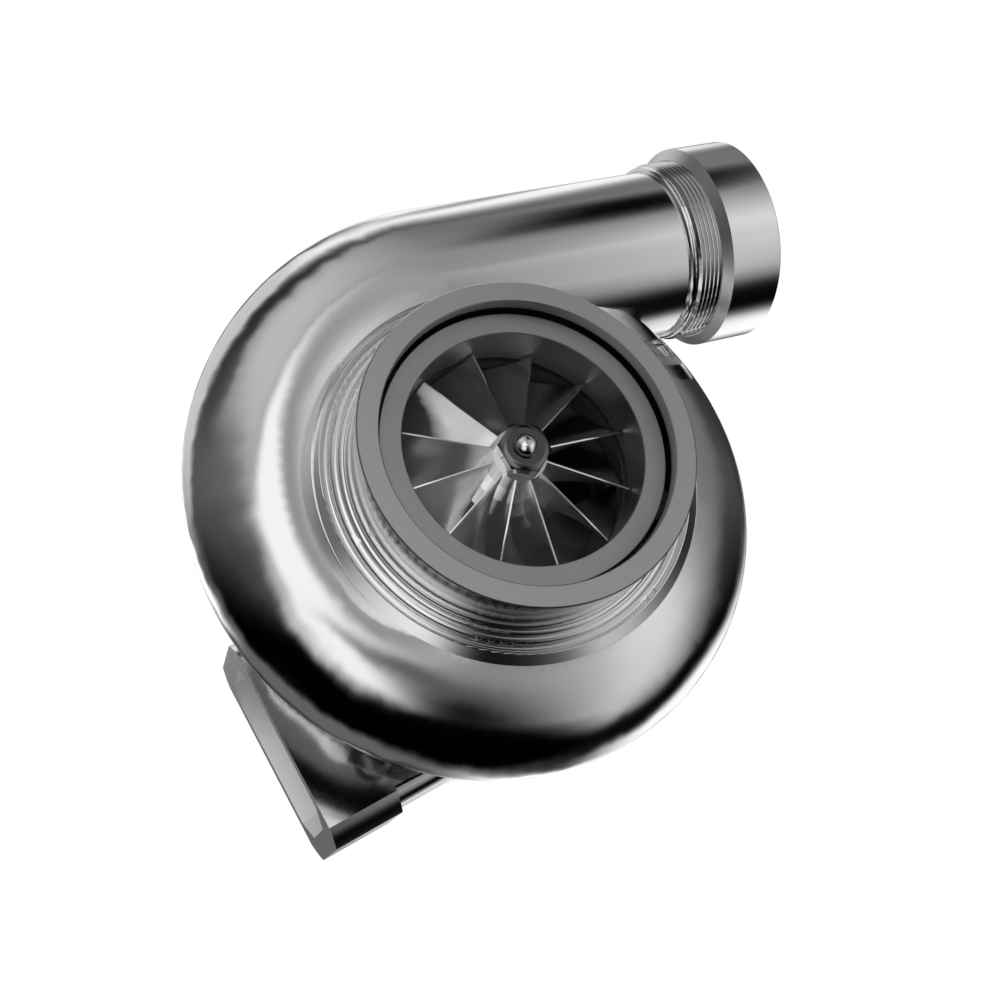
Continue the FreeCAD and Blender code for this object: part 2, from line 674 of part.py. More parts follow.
def bearing_housing_blank():
    front = [(0.0, BACKPLATE_D), (53.0, BACKPLATE_D), (54.0, 73.0), (54.0, 77.2), (53.2, 78.0), (37.0, 78.0)]
    waist = [(33.0, 81.0, 34.2, 78.8), (32.0, 86.0), (32.0, 92.0), (33.0, 97.5, 32.2, 95.2),
             (37.0, 99.6, 34.4, 99.2), (47.0, 100.2)]
    rear = [(BAND_R, 101.8), (BAND_R, TURBINE_FACE_D), (36.0, TURBINE_FACE_D), (34.0, 107.0),
            (26.0, 108.0), (24.0, 112.0), (0.0, 112.0)]
    return turned(front + waist + rear)


def rounded_block(x_half, y_half, corner, z_from, z_to):
    """Upright block in the waist plane with rounded corners."""
    box = Part.makeBox(2 * x_half, 2 * y_half, z_to - z_from, V(-x_half, WAIST_D - y_half, z_from))
    upright = [e for e in box.Edges if abs(e.tangentAt(e.FirstParameter).z) > 0.9]
    return box.makeFillet(corner, upright)


def bearing_housing_bore():
    points = [(0.0, 71.0), (THRUST_PLATE_R, 71.0), (THRUST_PLATE_R, THRUST_PLATE_END),
              (14.5, THRUST_PLATE_END), (14.5, 78.5), (BEARING_BORE_R, 78.5)]
    groove_r = 10.3
    for depth in snap_ring_depths():
        d_from = depth - 0.1
        d_to = depth + SNAP_RING + 0.1
        points += [(BEARING_BORE_R, d_from), (groove_r, d_from), (groove_r, d_to), (BEARING_BORE_R, d_to)]
    points += [(BEARING_BORE_R, 104.2), (10.52, 104.2), (10.52, 113.0), (0.0, 113.0)]
    return turned(points)


def oil_supply():
    """Feed thread, main drilling, and a slanted drilling to each journal bearing."""
    cuts = [rod(5.0, V(0, WAIST_D, FEED_PAD_Z - 10.0), UP, 20.0), rod(2.0, V(0, WAIST_D, 14.0), UP, 30.0)]
    for bearing in (FRONT_BEARING_D, REAR_BEARING_D):
        start = V(0, WAIST_D, 20.0)
        path = V(0, bearing + BEARING_LENGTH / 2.0, 9.0) - start
        cuts.append(rod(1.5, start, path, path.Length))
    return cuts


def oil_return():
    """Drain hole under a gallery with three slots up into the bearing bore."""
    slots = [Part.makeBox(8.0, 3.0, 12.0, V(-4.0, 75.4, -20.0))]
    for d in (90.2, 100.0):
        slots.append(Part.makeBox(8.0, 2.6, 10.0, V(-4.0, d, -18.0)))
    gallery = Part.makeBox(12.0, 24.0, 14.0, V(-6.0, 77.0, -27.0))
    return [rod(8.0, V(0, WAIST_D, DRAIN_PAD_Z - 1), UP, 24.0), gallery] + slots


def water_jacket():
    """Ring chamber over the bearings, open at the bottom for the drain, with a port on each side."""
    jacket = turned([(17.0, 84.0), (26.0, 84.0), (27.0, 90.0), (26.0, 98.0), (17.0, 98.0)])
    drain_space = Part.makeBox(40.0, 40.0, 60.0, V(-20.0, 70.0, -60.0))
    tower = rod(6.0, V(0, WAIST_D, 0), UP, 40.0)
    cuts = [jacket.cut([drain_space, tower])]
    for side in (RIGHT, LEFT):
        cuts.append(rod(6.5, side * (PORT_X - 11.0) + V(0, WAIST_D, 0), side, 12.0))
        cuts.append(rod(4.0, side * 20.0 + V(0, WAIST_D, 0), side, 20.0))
    return cuts


def bearing_housing():
    waist = V(0, WAIST_D, 0)
    body = union([bearing_housing_blank(), rounded_block(27.0, WAIST_HALF, 6.0, DRAIN_PAD_Z, 0.0),
                  rod(11.0, waist, UP, FEED_PAD_Z),
                  rod(10.0, waist, RIGHT, PORT_X), rod(10.0, waist, LEFT, PORT_X)])
    cuts = [bearing_housing_bore()] + oil_supply() + oil_return() + water_jacket()
    for x in (-DRAIN_BOLT_X, DRAIN_BOLT_X):
        cuts.append(rod(M6_TAP_R, V(x, WAIST_D, DRAIN_PAD_Z - 1), UP, 13.0))
    cuts += backplate_bolt_bars(M6_HOLE_R, 70.0, 80.0)
    cuts += backplate_bolt_bars(5.6, BACKPLATE_BOLT_FLOOR, 86.0)
    cuts += pin_bars(PIN_HOLE_R, 70.0, 80.2)
    return body.cut(cuts)


def oil_feed_fitting():
    """Restrictor fitting with a hexagon and a flared male end."""
    base = V(0, WAIST_D, FEED_PAD_Z + WASHER)
    head = hexagon(15.0, base, UP, 7.0).common(Part.makeCone(10.5, 7.4, 9.0, base - UP * 2.0, UP))
    body = union([rod(4.95, base - UP * 8.0, UP, 8.5), head, rod(5.5, base + UP * 6.5, UP, 11.0),
                  Part.makeCone(5.5, 3.2, 3.0, base + UP * 17.5, UP)])
    return body.cut([rod(2.2, base + UP * 4.0, UP, 20.0), rod(0.75, base - UP * 10.0, UP, 20.0)])


def oil_feed_washer():
    seat = V(0, WAIST_D, FEED_PAD_Z)
    return rod(8.5, seat, UP, WASHER).cut(rod(5.1, seat - UP, UP, 3.0))


def drain_plate(z_from, thick, x_half, bore):
    """Oblong plate under z_from with two bolt holes and a centre hole."""
    plate = rounded_block(x_half, WAIST_HALF - 0.3, 6.0, z_from - thick, z_from)
    below = z_from - thick - 1
    holes = [rod(bore, V(0, WAIST_D, below), UP, thick + 2)]
    for x in (-DRAIN_BOLT_X, DRAIN_BOLT_X):
        holes.append(rod(M6_HOLE_R, V(x, WAIST_D, below), UP, thick + 2))
    return plate.cut(holes)


def oil_drain_gasket():
    return drain_plate(DRAIN_PAD_Z, WASHER, 26.5, 8.2)


def oil_drain_fitting():
    """Two bolt flange with a plain hose stub."""
    top = DRAIN_PAD_Z - WASHER
    plate = drain_plate(top, DRAIN_FLANGE, 26.5, 7.5)
    stub = rod(DRAIN_STUB_R, V(0, WAIST_D, top - 5.0), DOWN, 22.0)
    bore = rod(7.0, V(0, WAIST_D, top + 1), DOWN, 40.0)
    return union([plate, stub]).cut(bore)


def oil_drain_bolts():
    seat = DRAIN_PAD_Z - WASHER - DRAIN_FLANGE
    return Part.makeCompound([socket_screw(V(x, WAIST_D, seat), DOWN, M6_R, 4.8, 6.0, 17.0)
                              for x in (-DRAIN_BOLT_X, DRAIN_BOLT_X)])


def water_port_plugs():
    """Flanged hexagon plugs that close the two water ports."""
    plugs = []
    for side in (RIGHT, LEFT):
        base = side * (PORT_X + WASHER) + V(0, WAIST_D, 0)
        prism = hexagon(14.0, base + side * 1.2, side, 5.5)
        head = prism.common(Part.makeCone(9.6, 6.6, 8.0, base - side * 0.5, side))
        plugs.append(union([rod(6.45, base - side * 8.0, side, 8.2), rod(9.2, base, side, 1.4), head]))
    return Part.makeCompound(plugs)


def water_port_washers():
    washers = []
    for side in (RIGHT, LEFT):
        base = side * PORT_X + V(0, WAIST_D, 0)
        washers.append(rod(9.2, base, side, WASHER).cut(rod(6.6, base - side, side, 3.0)))
    return Part.makeCompound(washers)


# ---------------------------------------------------------------------------
# Turbine housing and its clamp
# ---------------------------------------------------------------------------

def turbine_section(turn):
    left = 1.0 - turn
    radius = TURB_END_R + (TURB_START_R - TURB_END_R) * left ** 1.1
    distance = TURB_INNER_R + radius - TURB_WALL
    return radius, distance


def turbine_scroll(inset, steps):
    wires = []
    for k in range(steps + 1):
        turn = k / float(steps)
        radius, distance = turbine_section(turn)
        a = math.radians(TURB_SCROLL_START - TURB_SCROLL_SWEEP * turn)
        across = V(math.cos(a), 0, math.sin(a))
        wires.append(disc_wire(across * distance + V(0, TURB_SCROLL_D, 0), across, radius - inset))
    return Part.makeLoft(wires, True, False)


def flange_block():
    """Inlet flange, a thick block with chamfered corners."""
    x_half = FLANGE_LENGTH / 2.0
    y_half = FLANGE_WIDTH / 2.0
    c = FLANGE_CHAMFER
    out = c / 2.0 - FLANGE_BULGE / math.sqrt(2.0)
    corners = [(-x_half + c, -y_half, -x_half + out, -y_half + out), (x_half - c, -y_half),
               (x_half, -y_half + c, x_half - out, -y_half + out), (x_half, y_half - c),
               (x_half - c, y_half, x_half - out, y_half - out), (-x_half + c, y_half),
               (-x_half, y_half - c, -x_half + out, y_half - out), (-x_half, -y_half + c)]
    wire = outline_wire(corners, lambda x, y: V(FLANGE_OFFSET + x, FLANGE_DEPTH + y, -SHAFT_HEIGHT))
    return Part.Face(wire).extrude(V(0, 0, FLANGE_THICK))


def inlet_duct():
    """Straight walled duct from the flange into the scroll."""
    bottom = -SHAFT_HEIGHT + FLANGE_THICK - 1.0
    right = FLANGE_OFFSET + FLANGE_LENGTH / 2.0 - 2.5
    left = FLANGE_OFFSET - FLANGE_LENGTH / 2.0 + 2.0
    y_half = FLANGE_WIDTH / 2.0
    points = [(left, bottom), (right, bottom), (right, -34.0), (55.0, 6.0, 66.0, -11.0),
              (30.0, 12.0), (left, -30.0)]
    wire = outline_wire(points, lambda x, z: V(x, FLANGE_DEPTH - y_half + 0.2, z))
    duct = Part.Face(wire).extrude(V(0, FLANGE_WIDTH - 0.4, 0))
    rounded = [e for e in duct.Edges if min(v.Z for v in e.Vertexes) > bottom + 1 or
               (e.BoundBox.ZLength > 5 and e.BoundBox.XMin > right - 1)]
    rounded = [e for e in rounded if e.BoundBox.YLength < 1 and e.BoundBox.XMax > right - 16]
    return duct.makeFillet(6.0, rounded)


def slot_wire(x_half, y_half, corner, z):
    """Eight sided opening, chamfered at its corners."""
    corners = [(-x_half, -y_half + corner), (-x_half + corner, -y_half), (x_half - corner, -y_half),
               (x_half, -y_half + corner), (x_half, y_half - corner), (x_half - corner, y_half),
               (-x_half + corner, y_half), (-x_half, y_half - corner)]
    points = [V(FLANGE_OFFSET + x, FLANGE_DEPTH + y, z) for x, y in corners]
    return Part.makePolygon(points + [points[0]])


def inlet_passage():
    face = -SHAFT_HEIGHT
    return Part.makeLoft([slot_wire(30.2, 18.0, 7.0, face - 1.0), slot_wire(29.8, 17.6, 7.0, face + 20.0),
                          slot_wire(27.0, 15.0, 7.0, face + 36.0)], True, True)


def turbine_outside():
    front = [(0.0, TURBINE_FACE_D), (BAND_R, TURBINE_FACE_D), (BAND_R, 108.2), (47.0, 109.8)]
    middle = [(47.0, 116.0), (50.0, 124.0), (47.5, 146.0), (44.0, 152.0), (43.0, 160.0), (43.0, 166.5)]
    outlet = [(OUTLET_FLANGE_R, 168.5), (OUTLET_FLANGE_R, OUTLET_END_D), (0.0, OUTLET_END_D)]
    core = turned(front + middle + outlet)
    clearance = drum(62.0, 90.0, 110.5)
    around_core = union([turbine_scroll(0.0, 14), inlet_duct()]).cut(clearance)
    return union([core, around_core, flange_block()])


def turbine_bore():
    """Heat shield seat, gas gap round the wheel, wheel casing and outlet."""
    front = [(0.0, 100.0), (46.0, 100.0), (46.0, 106.3), (42.6, 106.3), (42.6, 117.0), (41.6, 118.4),
             (45.0, 118.4), (52.0, 117.0), (52.0, 131.0), (45.0, 130.6)]
    casing = list(reversed(casing_curve(TURB_TIP, 0.6, 0.0, 1.0, 8)))
    rear = [(36.1, 156.0), (38.5, OUTLET_END_D + 1), (0.0, OUTLET_END_D + 1)]
    return turned(front + casing + rear)


def turbine_housing():
    housing = turbine_outside()
    housing = housing.cut(turbine_scroll(TURB_WALL, 14))
    housing = housing.cut(inlet_passage())
    return housing.cut(turbine_bore())


def heat_shield():
    """Dished sheet disc, its rim held between the two housings."""
    return turned([(12.0, 113.6), (37.0, 113.6), (40.6, 105.2), (45.9, 105.2), (45.9, 106.2),
                   (41.4, 106.2), (37.7, 114.6), (12.0, 114.6)])


def v_band_clamp():
    """Split band with a V section and two bolt lugs."""
    inside = [(BAND_R + 0.2, 101.6), (BAND_R + 0.2, 108.4), (48.4, 109.6), (48.4, 110.3)]
    outside = [(BAND_R + 1.0, 109.4), (BAND_R + 2.2, 108.2), (BAND_R + 2.2, 101.8), (BAND_R + 1.0, 100.6)]
    band = turned(inside + outside + [(48.4, 99.7), (48.4, 100.4)])
    split = Part.makeBox(6.0, 30.0, 20.0, V(-3.0, 92.0, 45.0))
    hole = rod(3.2, V(-20.0, TURBINE_FACE_D, BAND_BOLT_R), RIGHT, 40.0)
    lugs = []
    for side in (-1, 1):
        lug = Part.makeBox(8.0, 7.0, 13.0, V(-4.0 + side * 8.0, 101.5, BAND_R + 0.4))
        lugs.append(lug.cut(hole))
    clamp = union([band.cut(split)] + lugs)
    clamp.rotate(V(0, 0, 0), V(0, 1, 0), BAND_TURN)
    return clamp


def v_band_bolt():
    bolt = union([rod(3.0, V(-19.0, TURBINE_FACE_D, BAND_BOLT_R), RIGHT, 31.0),
                  hexagon(10.0, V(12.0, TURBINE_FACE_D, BAND_BOLT_R), RIGHT, 4.0)])
    bolt.rotate(V(0, 0, 0), V(0, 1, 0), BAND_TURN)
    return bolt


def v_band_nut():
    nut = hexagon(10.0, V(-17.4, TURBINE_FACE_D, BAND_BOLT_R), RIGHT, 5.4)
    nut = nut.cut(rod(3.0 + FIT, V(-25.0, TURBINE_FACE_D, BAND_BOLT_R), RIGHT, 20.0))
    nut.rotate(V(0, 0, 0), V(0, 1, 0), BAND_TURN)
    return nut


# ---------------------------------------------------------------------------
# Export
# ---------------------------------------------------------------------------

PARTS = {
    "compressor_housing": compressor_housing,
    "outlet_collar": outlet_collar,
    "inlet_shroud_ring": inlet_shroud_ring,
    "compressor_wheel": compressor_wheel,
    "compressor_nut": compressor_nut,
    "turbine_wheel_and_shaft": turbine_wheel_and_shaft,
    "backplate": backplate,
    "backplate_o_ring": backplate_o_ring,
    "bearing_housing_o_ring": bearing_housing_o_ring,
    "compressor_clamp_plates": compressor_clamp_plates,
    "compressor_clamp_bolts": compressor_clamp_bolts,
    "backplate_bolts": backplate_bolts,
    "oil_flinger": oil_flinger,
    "thrust_collar": thrust_collar,
    "compressor_seal_ring": compressor_seal_ring,
    "turbine_seal_ring": turbine_seal_ring,
    "thrust_bearing": thrust_bearing,
    "thrust_bearing_pins": thrust_bearing_pins,
    "front_journal_bearing": lambda: journal_bearing(FRONT_BEARING_D),
    "rear_journal_bearing": lambda: journal_bearing(REAR_BEARING_D),
    "bearing_snap_rings": bearing_snap_rings,
    "bearing_housing": bearing_housing,
    "oil_feed_fitting": oil_feed_fitting,
    "oil_feed_washer": oil_feed_washer,
    "oil_drain_gasket": oil_drain_gasket,
    "oil_drain_fitting": oil_drain_fitting,
    "oil_drain_bolts": oil_drain_bolts,
    "water_port_plugs": water_port_plugs,
    "water_port_washers": water_port_washers,
    "turbine_housing": turbine_housing,
    "heat_shield": heat_shield,
    "v_band_clamp": v_band_clamp,
    "v_band_bolt": v_band_bolt,
    "v_band_nut": v_band_nut,
}


def export():
    os.makedirs("parts", exist_ok=True)
    for name, make in PARTS.items():
        shape = make()
        solids = len(shape.Solids)
        print(name, shape.isValid(), solids, round(shape.Volume), flush=True)
        shape.exportStep("parts/" + name + ".step")


export()
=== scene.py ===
import json
import math

import bpy
import numpy as np
from mathutils import Matrix, Vector


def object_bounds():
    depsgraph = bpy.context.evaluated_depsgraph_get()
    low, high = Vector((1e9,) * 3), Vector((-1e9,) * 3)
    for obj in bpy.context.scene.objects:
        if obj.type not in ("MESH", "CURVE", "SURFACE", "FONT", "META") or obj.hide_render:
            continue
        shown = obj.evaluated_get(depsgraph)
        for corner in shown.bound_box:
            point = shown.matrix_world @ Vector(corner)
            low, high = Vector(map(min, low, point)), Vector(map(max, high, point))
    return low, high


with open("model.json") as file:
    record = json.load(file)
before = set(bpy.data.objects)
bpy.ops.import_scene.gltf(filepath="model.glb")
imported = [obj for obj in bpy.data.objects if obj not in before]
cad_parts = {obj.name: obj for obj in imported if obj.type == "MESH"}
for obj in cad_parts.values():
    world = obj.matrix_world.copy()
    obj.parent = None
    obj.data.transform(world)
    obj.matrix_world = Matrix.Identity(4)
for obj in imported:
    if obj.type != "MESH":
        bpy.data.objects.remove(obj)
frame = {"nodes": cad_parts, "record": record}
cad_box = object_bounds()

MM = 0.001
TINY = 1e-12                # keeps divisions by a length away from zero
STUDIO_GAIN = 1.2
OUTLET_LEAN = math.radians(11)        # compressor outlet, from straight up
CREASE = math.cos(math.radians(28))   # faces that meet at a sharper angle keep a hard edge
SOFT = math.cos(math.radians(8))      # spots whose normals differ less than this lie on a broad curve
AGREES = math.cos(math.radians(50))   # a face this close to the profile's normal belongs to it
PROFILE_REACH = 0.12        # mm from the profile
SKIN_ROUNDS = 30            # rounds of evening out the scroll skin's normals

# Edges between the regions of the castings, in mm
NECK_R = 61.0               # the turned neck, moulding and shoulder lie inside this radius
NECK_D = 26.0
SKIN_R = 61.3               # the scroll skin lies outside this radius
SKIN_D = 74.0
SKIN_ALONG = 84.0           # the skin ends where the outlet thread begins
LIP_D = 4.3                 # depth of the turned lip
LIP_R = 50.7
CHAMBER_R = 47.4            # ring chamber behind the lip
COLLAR_CONE_END = 100.0     # along the outlet
DOME_D = 7.5                # the nut's dome lies in front of this depth
TURBINE_WHEEL_D = 109.5     # the cast wheel begins at this depth, behind the ground shaft
FLANGE_FACE_Z = -83.5
PASSAGE_END_Z = -46.0
FLANGE_X = 32.3             # middle of the flange
FLANGE_D = 124.0
PASSAGE_HALF_WIDTH = 30.3
PASSAGE_HALF_DEPTH = 18.1

# The neck of the compressor housing, its moulding and the shoulder: runs of (radius, depth) in
# mm, straight with two points and curved through three.
NECK_PROFILE = (
    ((50.4, 0.0), (50.8, 0.4)),
    ((50.8, 0.4), (50.8, 21.5)),
    ((50.8, 21.5), (50.3, 21.9)),
    ((50.3, 21.9), (50.7, 22.4)),
    ((50.7, 22.4), (51.5, 22.45), (52.2, 22.9)),
    ((52.2, 22.9), (53.1, 22.75), (54.0, 23.0)),
    ((54.0, 23.0), (54.6, 23.4), (54.9, 24.2)),
    ((54.9, 24.2), (56.0, 23.9), (56.9, 24.4)),
    ((56.9, 24.4), (57.3, 23.4)),
    ((57.3, 23.4), (57.5, 23.02), (58.0, 22.95)),
    ((58.0, 22.95), (61.3, 24.8)),
)
TURNED_PIECES = ("outlet_collar", "inlet_shroud_ring", "backplate", "heat_shield", "v_band_clamp")

# Directions of reflection in which the compressor wheel's blades get a painted highlight (a glow) or
# painted shade (a darker tone), each with the cosines of its outer and inner edge
PAINTED_HIGHLIGHT_LOBE = ((0.27, 0.60, -0.75), 0.86, 0.97)
PAINTED_SHEEN_LOBE = ((0.68, 0.66, 0.31), 0.88, 0.99)
PAINTED_SHADE_LOBE = ((-0.91, 0.22, 0.35), 0.90, 0.97)
PAINTED_DIMMING_LOBE = ((-0.28, -0.15, 0.95), 0.70, 0.90)
# Strengths of the painted highlight and the painted sheen, both given as glow
PAINTED_HIGHLIGHT_GLOW = 0.45
PAINTED_SHEEN_GLOW = 0.06
PAINTED_SHADE_SHARE = 0.1            # how much of the blades' tone is left in the painted shade


# ---------------------------------------------------------------- shading normals

def corner_angles(start, face, total, place):
    """Angle of each face corner, from the points before and after it."""
    corner = np.arange(len(face))
    first = start[face]
    after = first + (corner - first + 1) % total[face]
    before = first + (corner - first - 1) % total[face]
    ahead = place[after] - place[corner]
    behind = place[before] - place[corner]
    lengths = np.linalg.norm(ahead, axis=1) * np.linalg.norm(behind, axis=1)
    cosine = np.einsum("ij,ij->i", ahead, behind) / np.maximum(lengths, TINY**2)
    return np.arccos(np.clip(cosine, -1.0, 1.0))


def read_array(items, attribute, kind, width=1):
    values = np.empty(len(items) * width, dtype=kind)
    items.foreach_get(attribute, values)
    return values.reshape(-1, width) if width > 1 else values


class Shading:
    """Shading normals of a mesh, worked out from its faces."""

    def __init__(self, mesh):
        self.mesh = mesh
        vertex = read_array(mesh.loops, "vertex_index", np.int32)
        points = read_array(mesh.vertices, "co", np.float32, 3).astype(float)
        start = read_array(mesh.polygons, "loop_start", np.int32)
        total = read_array(mesh.polygons, "loop_total", np.int32)
        area = read_array(mesh.polygons, "area", np.float32)
        face = np.repeat(np.arange(len(total)), total)
        self.face = face
        # Vertices in the same place, to a micron, are one spot.
        place, spot = np.unique(np.round(points * 1e6).astype(np.int64), axis=0, return_inverse=True)
        self.place = place * 1e-6
        self.vertex_spot = spot.ravel()
        self.spot = self.vertex_spot[vertex]
        self.face_normal = read_array(mesh.polygons, "normal", np.float32, 3).astype(float)[face]
        self.weight = corner_angles(start, face, total, points[vertex]) * area[face]

    def averaged(self):
        """Normals averaged over the faces at each spot, except across hard edges."""
        order = np.argsort(self.spot, kind="stable")
        sizes = np.bincount(self.spot)
        firsts = np.concatenate(([0], np.cumsum(sizes)[:-1]))
        result = self.face_normal.copy()
        for size in np.unique(sizes):
            group = order[firsts[sizes == size][:, None] + np.arange(size)]
            around = self.face_normal[group]
            joined = np.einsum("nik,njk->nij", around, around) > CREASE
            total = np.einsum("nij,nj,njk->nik", joined, self.weight[group], around)
            length = np.linalg.norm(total, axis=2, keepdims=True)
            result[group] = np.where(length > TINY, total / np.maximum(length, TINY), around)
        return result

    def turned(self, normals, profile):
        """Gives the faces on a profile turned round the shaft the exact normals of that profile."""
        faces = self.face[-1] + 1
        points = self.place[self.spot] / MM
        radius = np.hypot(points[:, 0], points[:, 2])
        flat = np.stack((radius, points[:, 1]), axis=1)
        outward = points[:, [0, 2]] / np.maximum(radius, TINY)[:, None]
        middle = sum_by(self.face, flat, faces) / np.bincount(self.face, minlength=faces)[:, None]
        nearest = np.full(faces, PROFILE_REACH)
        result = normals.copy()
        for run in profile:
            distance = run_distance(run, middle)
            closer = distance < nearest
            nearest[closer] = distance[closer]
            corner = np.flatnonzero(closer[self.face])
            away, axial = run_normal(run, flat[corner]).T
            fresh = np.stack((away * outward[corner, 0], axial, away * outward[corner, 1]), axis=1)
            agrees = np.einsum("ij,ij->i", fresh, self.face_normal[corner]) > AGREES
            result[corner[agrees]] = fresh[agrees]
        return result

    def relaxed(self, normals, wanted, rounds):
        """Evens the normals out over the wanted spots, so that a broad curve reflects cleanly."""
        count = len(self.place)
        mean = sum_by(self.spot, normals, count)
        mean /= np.maximum(np.linalg.norm(mean, axis=1, keepdims=True), TINY)
        agreement = np.einsum("ij,ij->i", normals, mean[self.spot])
        rough = np.zeros(count, dtype=bool)
        rough[self.spot[agreement < SOFT]] = True
        wanted = wanted & ~rough
        edges = self.vertex_spot[read_array(self.mesh.edges, "vertices", np.int32, 2)]
        edges = edges[(edges[:, 0] != edges[:, 1]) & wanted[edges].all(axis=1)]
        edges = np.unique(np.sort(edges, axis=1), axis=0)
        near, far = np.concatenate((edges, edges[:, ::-1])).T
        pull = 1.0 / np.linalg.norm(self.place[near] - self.place[far], axis=1)[:, None]
        share = np.maximum(sum_by(near, pull, count), TINY)
        for _ in range(rounds):
            mean = mean + sum_by(near, pull * mean[far], count) / share
            mean /= np.maximum(np.linalg.norm(mean, axis=1, keepdims=True), TINY)
        soft = wanted[self.spot]
        result = normals.copy()
        result[soft] = mean[self.spot[soft]]
        return result

    def apply(self, normals):
        self.mesh.polygons.foreach_set("use_smooth", np.ones(len(self.mesh.polygons), dtype=bool))
        self.mesh.normals_split_custom_set(normals.tolist())


def circle_through(run):
    """Centre of the circle through the three points of a curved run."""
    first, middle, last = np.array(run)
    sides = 2.0 * np.stack((middle - first, last - first))
    squares = np.array((middle @ middle - first @ first, last @ last - first @ first))
    return np.linalg.solve(sides, squares)


def run_distance(run, points):
    """Distance of the points from a straight run of two points or a curved one of three."""
    first, last = np.array(run[0]), np.array(run[-1])
    chord = last - first
    length = np.linalg.norm(chord)
    along = (points - first) @ chord / length
    past = np.maximum(np.maximum(-along, along - length), 0.0)
    if len(run) == 2:
        across = (points - first) @ np.array((chord[1], -chord[0])) / length
    else:
        centre = circle_through(run)
        across = np.linalg.norm(points - centre, axis=1) - np.linalg.norm(first - centre)
    return np.hypot(across, past)


def run_normal(run, points):
    """Normals of a run at the points, on the side away from the metal."""
    chord = np.array(run[-1]) - np.array(run[0])
    outside = np.array((chord[1], -chord[0])) / np.linalg.norm(chord)
    if len(run) == 2:
        return np.tile(outside, (len(points), 1))
    centre = circle_through(run)
    spokes = points - centre
    spokes /= np.linalg.norm(spokes, axis=1, keepdims=True)
    return spokes * np.sign((np.array(run[1]) - centre) @ outside)


def sum_by(index, values, count):
    return np.stack([np.bincount(index, column, count) for column in values.T], axis=1)


def shade_turned(mesh):
    shading = Shading(mesh)
    shading.apply(shading.averaged())


def shade_compressor_housing(mesh):
    """The turned neck and moulding get the normals of their profile, the scroll skin evened out ones."""
    shading = Shading(mesh)
    x, y, z = shading.place.T
    radius = np.hypot(x, z)
    along = x * math.sin(OUTLET_LEAN) + z * math.cos(OUTLET_LEAN)
    neck = (radius < NECK_R * MM) & (y < NECK_D * MM)
    skin = (radius > SKIN_R * MM) & (y < SKIN_D * MM) & (along < SKIN_ALONG * MM)
    normals = read_array(mesh.corner_normals, "vector", np.float32, 3).astype(float)
    in_neck = neck[shading.spot]
    normals[in_neck] = shading.averaged()[in_neck]
    normals = shading.turned(normals, NECK_PROFILE)
    shading.apply(shading.relaxed(normals, skin, SKIN_ROUNDS))


# ---------------------------------------------------------------- materials

def new_material(name):
    """Material with an empty node tree, its shader and its object coordinates."""
    material = bpy.data.materials.new(name)
    material.use_nodes = True
    tree = material.node_tree
    shader = tree.nodes["Principled BSDF"]
    coordinates = tree.nodes.new("ShaderNodeTexCoord")
    return material, tree, shader, coordinates.outputs["Object"]


def math_node(tree, operation, a, b=None, c=None):
    node = tree.nodes.new("ShaderNodeMath")
    node.operation = operation
    for socket, value in zip(node.inputs, (a, b, c)):
        if value is None:
            continue
        if isinstance(value, (int, float)):
            socket.default_value = value
        else:
            tree.links.new(value, socket)
    return node.outputs[0]


def noise(tree, vector, scale, detail=3.0, rough=0.5):
    node = tree.nodes.new("ShaderNodeTexNoise")
    node.inputs["Scale"].default_value = scale
    node.inputs["Detail"].default_value = detail
    node.inputs["Roughness"].default_value = rough
    tree.links.new(vector, node.inputs["Vector"])
    return node.outputs["Fac"]


def remap(tree, value, low, high, from_low=0.0, from_high=1.0):
    node = tree.nodes.new("ShaderNodeMapRange")
    tree.links.new(value, node.inputs["Value"])
    node.inputs["From Min"].default_value = from_low
    node.inputs["From Max"].default_value = from_high
    node.inputs["To Min"].default_value = low
    node.inputs["To Max"].default_value = high
    return node.outputs["Result"]


def bump(tree, shader, height, distance, strength):
    node = tree.nodes.new("ShaderNodeBump")
    node.inputs["Strength"].default_value = strength
    node.inputs["Distance"].default_value = distance
    tree.links.new(height, node.inputs["Height"])
    tree.links.new(node.outputs["Normal"], shader.inputs["Normal"])


def grey(value, warm=0.0):
    return (value * (1 + warm), value, value * (1 - warm), 1.0)


def axes(tree, vector):
    split = tree.nodes.new("ShaderNodeSeparateXYZ")
    tree.links.new(vector, split.inputs["Vector"])
    return split.outputs["X"], split.outputs["Y"], split.outputs["Z"]


def shaft_radius(tree, x, z):
    across = math_node(tree, "MULTIPLY", x, x)
    return math_node(tree, "SQRT", math_node(tree, "MULTIPLY_ADD", z, z, across))


def above(tree, value, edge):
    """1 above the edge and 0 below it, with a short step, in millimetres."""
    return remap(tree, value, 0.0, 1.0, (edge - 0.1) * MM, (edge + 0.1) * MM)


def below(tree, value, edge):
    return remap(tree, value, 1.0, 0.0, (edge - 0.1) * MM, (edge + 0.1) * MM)


def all_of(tree, *masks):
    result = masks[0]
    for mask in masks[1:]:
        result = math_node(tree, "MULTIPLY", result, mask)
    return result


def blend(tree, mask, off, on):
    """Value 'off' where the mask is 0 and 'on' where it is 1; each is a number or a socket."""
    node = tree.nodes.new("ShaderNodeMix")
    tree.links.new(mask, node.inputs[0])
    for socket, value in ((node.inputs[2], off), (node.inputs[3], on)):
        if isinstance(value, (int, float)):
            socket.default_value = value
        else:
            tree.links.new(value, socket)
    return node.outputs[0]


def lobe(tree, direction, centre, outer, inner):
    """1 where the direction is near the centre, fading to 0; outer and inner are cosines."""
    middle = Vector(centre).normalized()
    return remap(tree, dot_node(tree, direction, middle), 0.0, 1.0, outer, inner)


def set_tone(tree, shader, tone):
    """Grey base colour from a value socket."""
    colour = tree.nodes.new("ShaderNodeCombineColor")
    for channel in colour.inputs:
        tree.links.new(tone, channel)
    tree.links.new(colour.outputs["Color"], shader.inputs["Base Color"])


